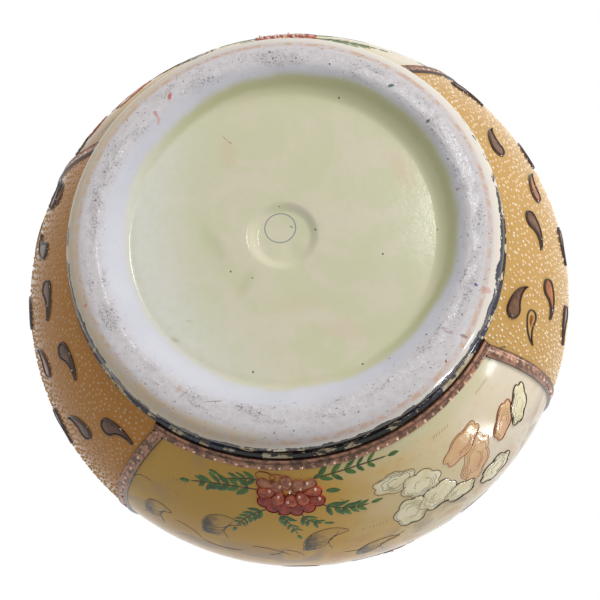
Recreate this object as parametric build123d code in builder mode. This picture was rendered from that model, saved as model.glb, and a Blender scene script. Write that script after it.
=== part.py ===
from build123d import *
from math import asin, cos, degrees, radians, sin, sqrt
import os

# Covered rice bowl: a round porcelain bowl on a broad foot ring, a domed lid with a bud knob,
# and the enamel laid on both in relief: gilt borders, straps, comma leaves and blossoms.
# Millimetres, +Z up, origin at the centre of the foot's resting plane, front panel facing -Y.
# Angles are degrees round from the front, towards -X.

# Bowl: its outside is an ellipse of revolution, cut by the foot below and the rim above
belly_radius = 88.5  # widest, at belly_height
belly_rise = 78.0  # half the height of the whole ellipse
belly_height = 63.5
rim_height = 98.0
bowl_wall = 4.5
rim_round = 1.6
floor_height = 11.5  # inside the bowl
floor_round = 12.0

# Foot ring, luted to the bowl's underside
foot_radius = 65.0
seat_height = 7.0  # joint between ring and bowl
land_radius = 57.0  # middle of the flat that stands on the table
land_width = 3.0
toe_height = 6.0  # outer corner of the ring, a quarter ellipse
recess_radius = 45.0
recess_depth = 5.0
dimple_radius = 11.0
dimple_depth = 1.2
dimple_shoulder = 3.6

# Lid: a dome with a lip that sits on the rim and a collar that drops into the mouth
lid_overhang = 0.8
lip_height = 3.4
lip_round = 1.2
lip_shelf = 1.6  # from the lip's side in to the dome
dome_rise = 33.5  # crown above the rim
dome_spring = 6.0  # centre of the dome's ellipse below the rim
dome_wall = 4.0
collar_clearance = 0.9
collar_wall = 3.4
collar_depth = 8.5
collar_round = 1.2

# Knob
knob_seat_radius = 9.0
knob_foot_height = 1.2  # its plain edge on the lid
knob_neck_radius = 5.5
knob_neck_height = 5.0
knob_radius = 12.0
knob_middle = 13.5  # height of its widest part above the seat
knob_height = 24.0
knob_point = 3.0  # fullness of the bud just below its tip
ring_width = 4.5  # gilt ring round the knob
ring_gap = 0.3

# Enamel relief
relief_thickness = 0.8
border_width = 3.4
rim_margin = 2.5  # bare glaze between border and edge
strap_width = 4.0
strap_gap = 0.3
relief_reach = 6.0  # how far a flat outline is carried on to the curved form
panel_radius = 70.0  # round panel, seen from the front
leaf_length = 12.0
leaf_head = 2.7
leaf_droop = 3.4
leaf_throat = 50.0  # where the tail leaves the round head, below the level
leaf_hollow = 1.4  # of the tail's inner edge
blossom_across = -0.27  # share of the way from the panel's middle to its edge
blossom_up = 0.11  # share of the way up the panel
blossom_petals = 6
petal_radius = 3.0
petal_ring = 4.6
crown_petals = 8
crown_petal_gap = 1.5
crown_petal_length = 12.0
crown_petal_width = 7.0

# Places of the comma leaves in each side field: share of the way across it from the front
# strap, share of the way up it, and lean from the level. Two that share a head make a fork.
left_leaves = [
    (0.17, 0.07, 9), (0.40, 0.14, -122), (0.68, 0.10, 22), (0.90, 0.24, -125),
    (0.18, 0.45, -160), (0.40, 0.42, 150), (0.70, 0.40, 40),
    (0.28, 0.72, -40), (0.58, 0.66, 20), (0.84, 0.66, 130),
]
left_amber_leaves = [(0.21, 0.24, -135), (0.55, 0.23, 29), (0.50, 0.88, -20)]
right_leaves = [
    (0.10, 0.13, -48), (0.35, 0.12, 27), (0.35, 0.12, -28), (0.55, 0.14, -7),
    (0.73, 0.18, 185), (0.90, 0.20, 150), (0.20, 0.27, -169), (0.26, 0.48, 30),
    (0.60, 0.41, -140), (0.84, 0.46, -30), (0.38, 0.72, 25), (0.72, 0.70, 140),
]
right_amber_leaves = [(0.42, 0.30, -160), (0.20, 0.80, 20)]
lid_leaves = [(0.25, 0.18, 20), (0.72, 0.18, -25)]


class Form:
    """An ellipse of revolution about the Z axis."""

    def __init__(self, height, radius, rise):
        self.height = height
        self.radius = radius
        self.rise = rise

    def radius_at(self, height):
        return self.radius * sqrt(1 - ((height - self.height) / self.rise) ** 2)

    def height_at(self, radius, side=1):
        return self.height + side * self.rise * sqrt(1 - (radius / self.radius) ** 2)

    def arc(self, low, high, raised=0):
        """Its outline in the XZ plane between two heights, or one raised above that."""
        start, end = (degrees(asin((z - self.height) / self.rise)) for z in (low, high))
        radius = self.radius + raised
        rise = self.rise + raised
        return EllipticalCenterArc((0, self.height), radius, rise, start, arc_size=end - start)

    def plane(self, angle, height, lean=0):
        """Plane touching it: X runs level round it unless it leans, Z points away from it."""
        around = Vector(-sin(radians(angle)), -cos(radians(angle)), 0)
        level = Vector(-cos(radians(angle)), sin(radians(angle)), 0)
        radius = self.radius_at(height)
        away = around * (radius / self.radius**2)
        away += Vector(0, 0, (height - self.height) / self.rise**2)
        touching = Plane(around * radius + Vector(0, 0, height), x_dir=level, z_dir=away)
        return touching.rotated((0, 0, lean))


# Forms and sizes that follow from the ones above
belly = Form(belly_height, belly_radius, belly_rise)
cavity = Form(belly_height, belly_radius - bowl_wall, belly_rise - bowl_wall)
foot_top = belly.height_at(foot_radius, side=-1)
land_inner = land_radius - land_width / 2
land_outer = land_radius + land_width / 2
rim_radius = belly.radius_at(rim_height)
mouth_radius = cavity.radius_at(rim_height)

lip_radius = rim_radius + lid_overhang
lip_top = rim_height + lip_height
dome_foot_radius = lip_radius - lip_shelf
dome_height = rim_height - dome_spring
dome_full_rise = dome_spring + dome_rise
dome_radius = dome_foot_radius / sqrt(1 - ((lip_top - dome_height) / dome_full_rise) ** 2)
dome = Form(dome_height, dome_radius, dome_full_rise)
collar_radius = mouth_radius - collar_clearance
collar_low = rim_height - collar_depth
dome_cavity = Form(rim_height, collar_radius - collar_wall, dome_rise - dome_wall)
knob_seat = dome.height_at(knob_seat_radius)
ceiling = dome_cavity.height_at(knob_seat_radius)  # flat inside the dome, under the knob

foot_border_top = foot_top + border_width
shoulder_border_top = rim_height - rim_margin
shoulder_border_low = shoulder_border_top - border_width
strap_low = foot_border_top + strap_gap
strap_high = shoulder_border_low - strap_gap
field_low = foot_top + strap_gap
lid_border_low = lip_top + rim_margin / 2
lid_border_top = lid_border_low + border_width
ring_inner = knob_seat_radius + ring_gap
ring_radius = ring_inner + ring_width
crown_inner = ring_radius + crown_petal_gap
crown_outer = crown_inner + crown_petal_length


def ogee(start, end):
    """Two equal arcs, level at both ends, between two points of a profile."""
    middle = ((start[0] + end[0]) / 2, (start[1] + end[1]) / 2)
    way = 1 if end[0] > start[0] else -1
    TangentArc(start, middle, tangent=(way, 0))
    TangentArc(end, middle, tangent=(-way, 0))


def relief_band(form, low, high, middle=0, reach=180):
    """Enamel laid on a form between two heights, round to reach degrees each side of a middle."""
    start = radians(-90 - middle - reach)
    across = Vector(cos(start), sin(start), 0)
    with BuildPart() as band:
        with BuildSketch(Plane((0, 0, 0), x_dir=across, z_dir=across.cross(Vector(0, 0, 1)))):
            with BuildLine():
                inner = form.arc(low, high)
                outer = form.arc(low, high, relief_thickness)
                Line(inner @ 0, outer @ 0)
                Line(inner @ 1, outer @ 1)
            make_face()
        revolve(axis=Axis.Z, revolution_arc=2 * reach)
    return band


def comma_outline():
    """Outline of a comma leaf: a round head and a hollow tail that droops to a point."""
    head = Vector(leaf_head - leaf_length / 2, 0)
    top = head + Vector(0, leaf_head)
    throat = head + Vector(leaf_head, 0).rotate(Axis.Z, -leaf_throat)
    tip = Vector(leaf_length / 2, -leaf_droop)
    ThreePointArc(top, head - Vector(leaf_head, 0), throat)
    SagittaArc(throat, tip, leaf_hollow)
    TangentArc(top, tip, tangent=(1, 0))


def enamel_leaves(form, skin, places):
    """Comma leaves trailed on a form, as separate solids that hug it."""
    with BuildPart() as leaves:
        for angle, height, lean in places:
            with BuildSketch(form.plane(angle, height, lean)):
                with BuildLine():
                    comma_outline()
                make_face()
        extrude(amount=relief_reach, both=True)
        add(skin, mode=Mode.INTERSECT)
    return leaves


def blossom(turned):
    """A raised flower head on a panel: overlapping round petals about a middle."""
    height = strap_low + blossom_up * (strap_high - strap_low)
    angle = turned + blossom_across * panel_edge(height)
    with BuildPart() as flower:
        with BuildSketch(belly.plane(angle, height)):
            Circle(petal_radius)
            with PolarLocations(petal_ring, blossom_petals):
                Circle(petal_radius)
        extrude(amount=relief_reach, both=True)
        add(belly_skin, mode=Mode.INTERSECT)
    return flower


def panel_edge(height):
    """Angle from the middle of a panel to its round edge, at a height on the belly."""
    half_width = sqrt(panel_radius**2 - (height - belly_height) ** 2)
    return degrees(asin(half_width / belly.radius_at(height)))


def belly_place(side, across, up, lean):
    """Angle, height and lean of a leaf, from its shares of the side field of the belly."""
    height = field_low + up * (strap_high - field_low)
    edge = panel_edge(height)
    return side * (edge + across * (180 - 2 * edge)), height, lean


def lid_place(side, across, up, lean):
    """Angle, height and lean of a leaf, from its shares of the side field of the lid."""
    outer = dome.radius_at(lid_border_top)
    edge = panel_edge(rim_height)
    height = dome.height_at(outer + up * (crown_outer - outer))
    return side * (edge + across * (180 - 2 * edge)), height, side * lean


# Bowl

with BuildPart() as bowl_body:
    with BuildSketch(Plane.XZ):
        with BuildLine():
            outside = belly.arc(foot_top, rim_height)
            Polyline(
                outside @ 1,
                (0, rim_height),
                (0, recess_depth),
                (recess_radius, recess_depth),
                (recess_radius, seat_height),
                (foot_radius, seat_height),
                outside @ 0,
            )
        make_face()
    revolve(axis=Axis.Z)
    with BuildSketch(Plane.XZ):
        with BuildLine():
            inside = cavity.arc(floor_height, rim_height)
            Polyline(inside @ 1, (0, rim_height), (0, floor_height), inside @ 0)
        make_face()
    revolve(axis=Axis.Z, mode=Mode.SUBTRACT)
    cut_edges = bowl_body.edges(Select.LAST).filter_by(GeomType.CIRCLE)
    fillet(cut_edges.sort_by(Axis.Z)[0], floor_round)
    fillet(bowl_body.edges().group_by(Axis.Z)[-1], rim_round)
    with BuildSketch(Plane.XZ):
        with BuildLine():
            dimple_edge = (dimple_radius, recess_depth)
            dimple_floor = (dimple_radius - dimple_shoulder, recess_depth + dimple_depth)
            ogee(dimple_edge, dimple_floor)
            Polyline(dimple_floor, (0, dimple_floor[1]), (0, recess_depth), dimple_edge)
        make_face()
    revolve(axis=Axis.Z, mode=Mode.SUBTRACT)
bowl_body.part.label = "bowl_body"

with BuildPart() as foot_ring:
    with BuildSketch(Plane.XZ):
        with BuildLine():
            ogee((recess_radius, recess_depth), (land_inner, 0))
            Line((land_inner, 0), (land_outer, 0))
            toe = foot_radius - land_outer
            EllipticalCenterArc((land_outer, toe_height), toe, toe_height, -90, arc_size=90)
            Polyline(
                (foot_radius, toe_height),
                (foot_radius, seat_height),
                (recess_radius, seat_height),
                (recess_radius, recess_depth),
            )
        make_face()
    revolve(axis=Axis.Z)
foot_ring.part.label = "foot_ring"

# Enamel relief on the bowl

# The foot's border runs along the two panels only, from strap to strap
strap_turn = degrees(strap_width / 2 / belly.radius_at(strap_low))
with BuildPart() as foot_border:
    for turned in (0, 180):
        add(relief_band(belly, foot_top, foot_border_top, turned, panel_edge(strap_low) + strap_turn))
foot_border.part.label = "foot_border"

shoulder_border = relief_band(belly, shoulder_border_low, shoulder_border_top)
shoulder_border.part.label = "shoulder_border"

belly_skin = relief_band(belly, strap_low, strap_high).part
field_skin = relief_band(belly, field_low, strap_high).part

# Each strap follows the edge of its panel, as an arc that is seen square on at mid height
straps = []
for name, side, turned in (
    ("front_left_strap", 1, 0),
    ("front_right_strap", -1, 0),
    ("back_left_strap", -1, 180),
    ("back_right_strap", 1, 180),
):
    facing = belly.plane(turned + side * panel_edge(belly_height), belly_height)
    path = [
        facing.to_local_coords(belly.plane(turned + side * panel_edge(z), z).origin)
        for z in (strap_low - strap_width, belly_height, strap_high + strap_width)
    ]
    with BuildPart() as strap:
        with BuildSketch(facing):
            with BuildLine():
                ThreePointArc(*((point.X, point.Y) for point in path))
            trace(line_width=strap_width)
        extrude(amount=belly_radius / 2, both=True)
        add(belly_skin, mode=Mode.INTERSECT)
    strap.part.label = name
    straps.append(strap)

leaf_groups = []
for name, side, places in (
    ("left_enamel_leaves", 1, left_leaves),
    ("left_amber_leaves", 1, left_amber_leaves),
    ("right_enamel_leaves", -1, right_leaves),
    ("right_amber_leaves", -1, right_amber_leaves),
):
    group = enamel_leaves(belly, field_skin, [belly_place(side, *place) for place in places])
    group.part.label = name
    leaf_groups.append(group)

front_blossom = blossom(0)
front_blossom.part.label = "front_blossom"

back_blossom = blossom(180)
back_blossom.part.label = "back_blossom"

# Lid

with BuildPart() as lid_dome:
    with BuildSketch(Plane.XZ) as lid_section:
        with BuildLine():
            outside = dome.arc(lip_top, knob_seat)
            inside = dome_cavity.arc(rim_height, ceiling)
            Polyline(outside @ 1, (0, knob_seat), (0, ceiling), inside @ 1)
            Polyline(
                inside @ 0,
                (dome_cavity.radius, collar_low),
                (collar_radius, collar_low),
                (collar_radius, rim_height),
                (lip_radius, rim_height),
                (lip_radius, lip_top),
                outside @ 0,
            )
        make_face()
        fillet(lid_section.vertices().group_by(Axis.Y)[0], collar_round)
        fillet(lid_section.vertices().group_by(Axis.X)[-1], lip_round)
    revolve(axis=Axis.Z)
lid_dome.part.label = "lid_dome"

with BuildPart() as lid_knob:
    with BuildSketch(Plane.XZ):
        with BuildLine():
            neck = (knob_neck_radius, knob_seat + knob_neck_height)
            widest = (knob_radius, knob_seat + knob_middle)
            tip = (0, knob_seat + knob_height)
            flare = knob_seat_radius - knob_neck_radius
            foot_edge = knob_seat + knob_foot_height
            Polyline(tip, (0, knob_seat), (knob_seat_radius, knob_seat), (knob_seat_radius, foot_edge))
            EllipticalCenterArc(
                (knob_seat_radius, neck[1]), flare, neck[1] - foot_edge, 180, arc_size=90
            )
            swell = (widest[1] - neck[1]) / 2
            Bezier(neck, (neck[0], neck[1] + swell), (widest[0], widest[1] - swell), widest)
            draw_in = (tip[1] - widest[1]) / 2
            Bezier(widest, (widest[0], widest[1] + draw_in), (knob_point, tip[1] - draw_in / 2), tip)
        make_face()
    revolve(axis=Axis.Z)
lid_knob.part.label = "lid_knob"

# Enamel relief on the lid

lid_border = relief_band(dome, lid_border_low, lid_border_top)
lid_border.part.label = "lid_border"

knob_ring = relief_band(dome, dome.height_at(ring_radius), dome.height_at(ring_inner))
knob_ring.part.label = "knob_ring"

lid_skin = relief_band(dome, lid_border_top + strap_gap, dome.height_at(crown_inner)).part

with BuildSketch() as petal:
    with BuildLine():
        for side in (1, -1):
            ends = (-crown_petal_length / 2, 0), (crown_petal_length / 2, 0)
            SagittaArc(*ends, side * crown_petal_width / 2)
    make_face()

with BuildPart() as lid_petals:
    with BuildSketch(Plane.XY.offset(rim_height)):
        crown_middle = (crown_inner + crown_outer) / 2
        with PolarLocations(crown_middle, crown_petals, start_angle=180 / crown_petals):
            add(petal.sketch)
    extrude(amount=dome_full_rise)
    add(lid_skin, mode=Mode.INTERSECT)
lid_petals.part.label = "lid_petals"

lid_straps = []
strap_end = crown_outer + crown_petal_gap
for name, angle in (
    ("lid_front_left_strap", panel_edge(rim_height)),
    ("lid_front_right_strap", -panel_edge(rim_height)),
    ("lid_back_left_strap", 180 - panel_edge(rim_height)),
    ("lid_back_right_strap", panel_edge(rim_height) - 180),
):
    with BuildPart() as strap:
        with BuildSketch(Plane.XY.offset(rim_height)):
            with BuildLine():
                away = Vector(-sin(radians(angle)), -cos(radians(angle)))
                Line(away * strap_end, away * dome_radius)
            trace(line_width=strap_width)
        extrude(amount=dome_full_rise)
        add(lid_skin, mode=Mode.INTERSECT)
    strap.part.label = name
    lid_straps.append(strap)

lid_places = [lid_place(side, *place) for side in (1, -1) for place in lid_leaves]
lid_enamel_leaves = enamel_leaves(dome, lid_skin, lid_places)
lid_enamel_leaves.part.label = "lid_enamel_leaves"

# Files, one for each piece

os.makedirs("parts", exist_ok=True)
pieces = [bowl_body, foot_ring, foot_border, shoulder_border, *straps, *leaf_groups]
pieces += [front_blossom, back_blossom, lid_dome, lid_knob, knob_ring, lid_petals]
pieces += [lid_border, *lid_straps, lid_enamel_leaves]
for piece in pieces:
    export_step(piece.part, f"parts/{piece.part.label}.step")
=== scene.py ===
import bpy
import math
import random
import numpy as np
from mathutils import Matrix, Vector
from mathutils.geometry import delaunay_2d_cdt
from mathutils.kdtree import KDTree


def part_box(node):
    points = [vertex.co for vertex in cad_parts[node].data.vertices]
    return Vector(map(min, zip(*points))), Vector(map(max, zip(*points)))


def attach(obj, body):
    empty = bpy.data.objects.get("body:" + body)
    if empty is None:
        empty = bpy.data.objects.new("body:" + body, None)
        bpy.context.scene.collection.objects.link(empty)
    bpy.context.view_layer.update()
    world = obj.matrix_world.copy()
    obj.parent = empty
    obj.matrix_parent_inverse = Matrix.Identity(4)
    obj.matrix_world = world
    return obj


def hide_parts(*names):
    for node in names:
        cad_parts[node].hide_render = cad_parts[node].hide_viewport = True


# Covered rice bowl, seen from below: glazed foot, ochre belly with trailed enamel in relief.
# Lengths in the dictionaries are millimetres. Angles are degrees round from the front
# (the -Y side), towards -X.

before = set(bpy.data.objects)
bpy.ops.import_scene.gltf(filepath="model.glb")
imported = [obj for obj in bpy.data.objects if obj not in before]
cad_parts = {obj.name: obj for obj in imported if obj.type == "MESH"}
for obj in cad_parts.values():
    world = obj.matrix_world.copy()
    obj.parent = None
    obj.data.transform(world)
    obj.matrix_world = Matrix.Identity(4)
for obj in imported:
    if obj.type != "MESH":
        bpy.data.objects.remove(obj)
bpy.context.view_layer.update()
mm = 0.001
chance = random.Random(7)
print("frame loaded,", len(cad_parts), "nodes")


def lowOf(node):
    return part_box(node)[0] / mm


def topOf(node):
    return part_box(node)[1] / mm


# Edges and seats come from the frame, curves from the potter's section
bowl = {
    "middle": 63.5,  # height of the widest part
    "rise": 78.0,  # half height of the belly's ellipse
    "radius": topOf("bowl_body").x,
    "rim": topOf("bowl_body").z,
    "wall": 4.5,
    "floor": 11.5,
    "floorRound": 12.0,
    "rimRound": 1.6,
    "waver": 0.09,  # how far throwing and glaze leave the true curve
}
relief = {
    "thickness": 0.8,
    "footLow": lowOf("foot_border").z,
    "footHigh": topOf("foot_border").z,
    "strapLow": lowOf("front_left_strap").z,
    "strapHigh": topOf("front_left_strap").z,
    "shoulderLow": lowOf("shoulder_border").z,
    "shoulderHigh": topOf("shoulder_border").z,
    "lidLow": lowOf("lid_border").z,
    "lidHigh": topOf("lid_border").z,
    "ringInner": 9.3,
    "ringOuter": topOf("knob_ring").x,
    "crownOuter": 27.3,
    "strapWidth": 4.0,
    "panelRadius": 70.0,  # round panel, seen from the front
}
thick = relief["thickness"]


# Surfaces. A place on a form is (angle round, slope angle up its ellipse, lift off it).
def slopeAt(form, height):
    return np.arcsin(np.clip((height - form["middle"]) / form["rise"], -1, 1))


def radiusAt(form, height):
    return form["radius"] * math.sqrt(1 - ((height - form["middle"]) / form["rise"]) ** 2)


def heightAt(form, radius):
    return form["middle"] + form["rise"] * math.sqrt(1 - (radius / form["radius"]) ** 2)


def speedAt(form, slope):
    # millimetres of surface to a radian of slope
    return math.hypot(form["radius"] * math.sin(slope), form["rise"] * math.cos(slope))


def roundOf(points):
    # angle round, distance from the axis and height
    x, y, z = np.asarray(points).T
    return np.arctan2(-x, -y), np.hypot(x, y), z


def wavering(x, y, z):
    turn = np.arctan2(-x, -y)
    return (np.sin(2 * turn + 0.8) + 0.6 * np.sin(3 * turn - z / 31 + 2)
            + 0.5 * np.sin(5 * turn + z / 17) + 0.4 * np.sin(z / 9 + 4 * turn)) / 2.5


def onForm(form, turn, slope, lift=0.0):
    turn, slope = np.asarray(turn, float), np.asarray(slope, float)
    across = form["radius"] * np.cos(slope)
    height = form["middle"] + form["rise"] * np.sin(slope)
    nr, nz = np.cos(slope) / form["radius"], np.sin(slope) / form["rise"]
    size = np.hypot(nr, nz)
    x, y = -across * np.sin(turn), -across * np.cos(turn)
    lift = lift + form["waver"] * wavering(x, y, height)
    out = lift * nr / size
    return np.stack([x - out * np.sin(turn), y - out * np.cos(turn), height + lift * nz / size], -1)


def localToForm(form, turn0, slope0, uv):
    # (u, v) in mm round and up from a place, to (turn, slope)
    uv = np.asarray(uv, float)
    slope = slope0 + uv[:, 1] / speedAt(form, slope0)
    return turn0 + uv[:, 0] / (form["radius"] * np.cos(slope)), slope


def formToLocal(form, turn0, slope0, turn, slope):
    away = (np.asarray(turn) - turn0 + math.pi) % (2 * math.pi) - math.pi
    return np.stack([away * form["radius"] * np.cos(slope), (slope - slope0) * speedAt(form, slope0)], -1)


def panelEdge(height):
    half = math.sqrt(relief["panelRadius"] ** 2 - (height - bowl["middle"]) ** 2)
    return math.asin(half / radiusAt(bowl, height))


# Pieces. A mesh is (points, faces) or (points, faces, finish of each face).
def newPiece(name, mesh, body, finishes, stands=(), sharp=40, shade=None):
    points, faces, *marks = mesh
    mesh = bpy.data.meshes.new(name)
    mesh.from_pydata([tuple(p) for p in np.asarray(points) * mm], [], faces)
    for finish in finishes:
        mesh.materials.append(finish)
    if marks:
        mesh.polygons.foreach_set("material_index", marks[0])
    mesh.polygons.foreach_set("use_smooth", [True] * len(mesh.polygons))
    mesh.set_sharp_from_angle(angle=math.radians(sharp))
    if shade is not None:  # strength of a wash, point by point
        values = mesh.attributes.new("shade", "FLOAT", "POINT").data
        values.foreach_set("value", np.asarray(shade, np.float32))
    mesh.update()
    piece = bpy.data.objects.new(name, mesh)
    bpy.context.collection.objects.link(piece)
    if stands:
        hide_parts(*stands)
    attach(piece, body)
    return piece


sides = 384  # of what is turned


def turned(profile, shape, sides=sides):
    # points (radius, height, finish of the band that follows); a radius of 0 closes on the axis
    rings, points, faces, marks = [], [], [], []
    turn = np.arange(sides) * 2 * math.pi / sides
    for radius, height, _ in profile:
        ring = np.array([[0.0, 0.0, height]])
        if radius > 1e-6:
            ring = np.stack([-radius * np.sin(turn), -radius * np.cos(turn), np.full(sides, height)], -1)
        rings.append((len(points), len(ring)))
        points.extend(ring)
    pairs = list(zip(range(len(profile)), list(range(1, len(profile))) + [0]))
    for low, high in pairs if profile[0][0] > 1e-6 else pairs[:-1]:
        (a, na), (b, nb) = rings[low], rings[high]
        for i in range(sides):
            j = (i + 1) % sides
            if na == 1:
                faces.append((b + i, b + j, a))
            elif nb == 1:
                faces.append((b, a + j, a + i))
            else:
                faces.append((b + i, b + j, a + j, a + i))
            marks.append(profile[low][2])
    return shape(np.array(points)), faces, marks


def ellipsePart(form, low, high, steps, mark=0):
    slopes = np.linspace(slopeAt(form, low), slopeAt(form, high), steps)
    return [(form["radius"] * math.cos(s), form["middle"] + form["rise"] * math.sin(s), mark) for s in slopes]


def ogee(start, end, steps):
    return [(start[0] + (end[0] - start[0]) * t, start[1] + (end[1] - start[1]) * (3 * t * t - 2 * t ** 3), 0)
            for t in (i / steps for i in range(steps + 1))]


def arcPart(centre, radii, start, end, steps, mark=0):
    angles = np.radians(np.linspace(start, end, steps))
    return [(centre[0] + radii[0] * math.cos(a), centre[1] + radii[1] * math.sin(a), mark) for a in angles]


def domes(form, places, sides=8):
    # places: turn, slope, radius and height of each little mound
    points, faces = [], []
    ringTurn = np.arange(sides) * 2 * math.pi / sides
    for turn, slope, radius, height in places:
        base = len(points)
        for share, rise in ((1.0, -0.12), (0.78, 0.62), (0.42, 0.92)):
            uv = np.stack([np.cos(ringTurn), np.sin(ringTurn)], -1) * radius * share
            points.extend(onForm(form, *localToForm(form, turn, slope, uv), height * rise))
        points.append(onForm(form, turn, slope, height))
        for a in (base, base + sides):
            for i in range(sides):
                j = (i + 1) % sides
                faces.append((a + j, a + i, a + sides + i, a + sides + j))
        for i in range(sides):
            faces.append((base + 2 * sides + (i + 1) % sides, base + 2 * sides + i, base + 3 * sides))
    return points, faces


def resample(path, step, closed=False):
    path = np.asarray(path, float)
    if closed:
        path = np.vstack([path, path[:1]])
    gaps = np.linalg.norm(np.diff(path, axis=0), axis=1)
    along = np.concatenate([[0], np.cumsum(gaps)])
    count = max(3, int(round(along[-1] / step)))
    stops = np.linspace(0, along[-1], count + 1)
    found = np.stack([np.interp(stops, along, path[:, k]) for k in range(2)], -1)
    return found[:-1] if closed else found


def edgeDistance(spots, loop):
    way = np.roll(loop, -1, axis=0) - loop
    size = np.maximum((way ** 2).sum(1), 1e-12)
    best = np.full(len(spots), 1e9)
    for k in range(len(loop)):
        t = np.clip(((spots - loop[k]) @ way[k]) / size[k], 0, 1)
        best = np.minimum(best, np.linalg.norm(spots - loop[k] - t[:, None] * way[k], axis=1))
    return best


def isInside(spots, loop):
    inside = np.zeros(len(spots), bool)
    x, y = spots[:, 0], spots[:, 1]
    for (ax, ay), (bx, by) in zip(loop, np.roll(loop, -1, axis=0)):
        if ay != by:
            inside ^= ((ay > y) != (by > y)) & (x < (bx - ax) * (y - ay) / (by - ay) + ax)
    return inside


def mounds(form, shapes, height, edge, grain, crown=0.0):
    # filled outlines: each is (turn, slope, outline in mm), rounded at the edge over a width
    points, faces = [], []
    for turn, slope, outline in shapes:
        loop = resample(outline, grain, closed=True)
        low, high = loop.min(0), loop.max(0)
        xs = np.arange(low[0], high[0], grain)
        ys = np.arange(low[1], high[1], grain * 0.87)
        grid = np.array([(x + (grain / 2 if k % 2 else 0), y) for k, y in enumerate(ys) for x in xs])
        grid = grid[isInside(grid, loop)]
        grid = grid[edgeDistance(grid, loop) > grain * 0.45] if len(grid) else grid
        spots = np.vstack([loop, grid]) if len(grid) else loop
        cut = delaunay_2d_cdt([Vector(p) for p in spots], [], [list(range(len(loop)))], 1, 1e-5)
        flat = np.array([tuple(p) for p in cut[0]])
        away = edgeDistance(flat, loop)
        share = np.clip(away / edge, 0, 1)
        lift = height * np.sqrt(np.maximum(0, 1 - (1 - share) ** 2))
        lift *= 1 + crown * share * np.minimum(away, 2.5)
        lift[away < 1e-3] = -0.04
        base = len(points)
        points.extend(onForm(form, *localToForm(form, turn, slope, flat), lift))
        for face in cut[2]:
            a, b, c = (flat[i] for i in face[:3])
            around = (b[0] - a[0]) * (c[1] - a[1]) - (b[1] - a[1]) * (c[0] - a[0])
            face = [base + i for i in face]
            faces.append(face[::-1] if around > 0 else face)
    return points, faces


threadSection = [(-0.5, -0.06), (-0.4, 0.55), (0.0, 1.0), (0.4, 0.55), (0.5, -0.06)]


def threads(form, paths, section=threadSection, taper=True):
    # trailed lines: each is (turn, slope, path in mm, width, height, closed)
    points, faces = [], []
    for turn, slope, path, width, height, closed in paths:
        path = resample(path, max(0.35, width * 0.6), closed)
        count = len(path)
        if closed:
            way = np.roll(path, -1, axis=0) - np.roll(path, 1, axis=0)
        else:
            way = np.gradient(path, axis=0)
        way /= np.maximum(np.linalg.norm(way, axis=1, keepdims=True), 1e-9)
        side = np.stack([-way[:, 1], way[:, 0]], -1)
        share = np.linspace(0, 1, count)
        full = np.ones(count)
        if taper and not closed:
            full = np.clip(np.minimum(share, 1 - share) * count / 3, 0.25, 1)
        base = len(points)
        for across, up in section:
            spots = path + side * (across * width * full)[:, None]
            points.extend(onForm(form, *localToForm(form, turn, slope, spots), height * up * full))
        for k in range(len(section) - 1):
            for i in range(count if closed else count - 1):
                j = (i + 1) % count
                a, b = base + k * count, base + (k + 1) * count
                faces.append((b + i, b + j, a + j, a + i))
    return points, faces


def joined(*meshes):
    points, faces = [], []
    for some, their in meshes:
        base = len(points)
        points.extend(some)
        faces.extend([tuple(base + i for i in face) for face in their])
    return points, faces


def outlinesOf(node, form):
    # the raised outline of each blob of enamel in a node, about its own middle
    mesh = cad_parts[node].data
    spots = np.array([v.co for v in mesh.vertices]) / mm
    across, height = roundOf(spots)[1:]
    rise = (height - form["middle"]) / form["rise"]
    lifted = np.hypot(across / form["radius"], rise) * form["radius"] - form["radius"]
    names = [tuple(np.round(p, 3)) for p in spots]
    ends = {}
    for face in mesh.polygons:
        corners = list(face.vertices)
        if min(lifted[i] for i in corners) > thick * 0.5:
            for a, b in zip(corners, corners[1:] + corners[:1]):
                key = (names[a], names[b])
                if key[::-1] in ends:
                    del ends[key[::-1]]
                else:
                    ends[key] = None
    follow = {a: b for a, b in ends}
    found = []
    while follow:
        start, step = follow.popitem()
        loop = [start]
        while step in follow:
            loop.append(step)
            step = follow.pop(step)
        if len(loop) > 6:
            turn, across, height = roundOf(loop)
            rise = (height - form["middle"]) / (form["rise"] + thick)
            slope = np.arctan2(rise, across / (form["radius"] + thick))
            turn0 = math.atan2(np.sin(turn).mean(), np.cos(turn).mean())
            found.append((turn0, slope.mean(), formToLocal(form, turn0, slope.mean(), turn, slope)))
    return found


# Finishes
def linear(hexColour):
    parts = [int(hexColour[i:i + 2], 16) / 255 for i in (1, 3, 5)]
    return [*(c / 12.92 if c <= 0.04045 else ((c + 0.055) / 1.055) ** 2.4 for c in parts), 1.0]


def newFinish(name):
    finish = bpy.data.materials.new(name)
    finish.use_nodes = True
    finish.node_tree.nodes.clear()
    return finish, finish.node_tree


def addNode(tree, kind, inputs, **settings):
    node = tree.nodes.new("ShaderNode" + kind)
    for key, value in settings.items():
        setattr(node, key, value)
    for key, value in inputs.items():
        if isinstance(value, bpy.types.NodeSocket):
            tree.links.new(value, node.inputs[key])
        else:
            node.inputs[key].default_value = linear(value) if isinstance(value, str) else value
    return node


def place(tree):
    # object coordinates in millimetres, whole and in parts
    where = addNode(tree, "TexCoord", {}).outputs["Object"]
    inMm = addNode(tree, "VectorMath", {0: where, "Scale": 1 / mm}, operation="SCALE").outputs[0]
    return inMm, *addNode(tree, "SeparateXYZ", {0: inMm}).outputs


def awayFrom(tree, where, middle, kept):
    # distance from a place, counting only the ways kept
    flat = addNode(tree, "VectorMath", {0: where, 1: kept}, operation="MULTIPLY").outputs[0]
    return addNode(tree, "VectorMath", {0: flat, 1: middle}, operation="DISTANCE").outputs["Value"]


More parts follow.
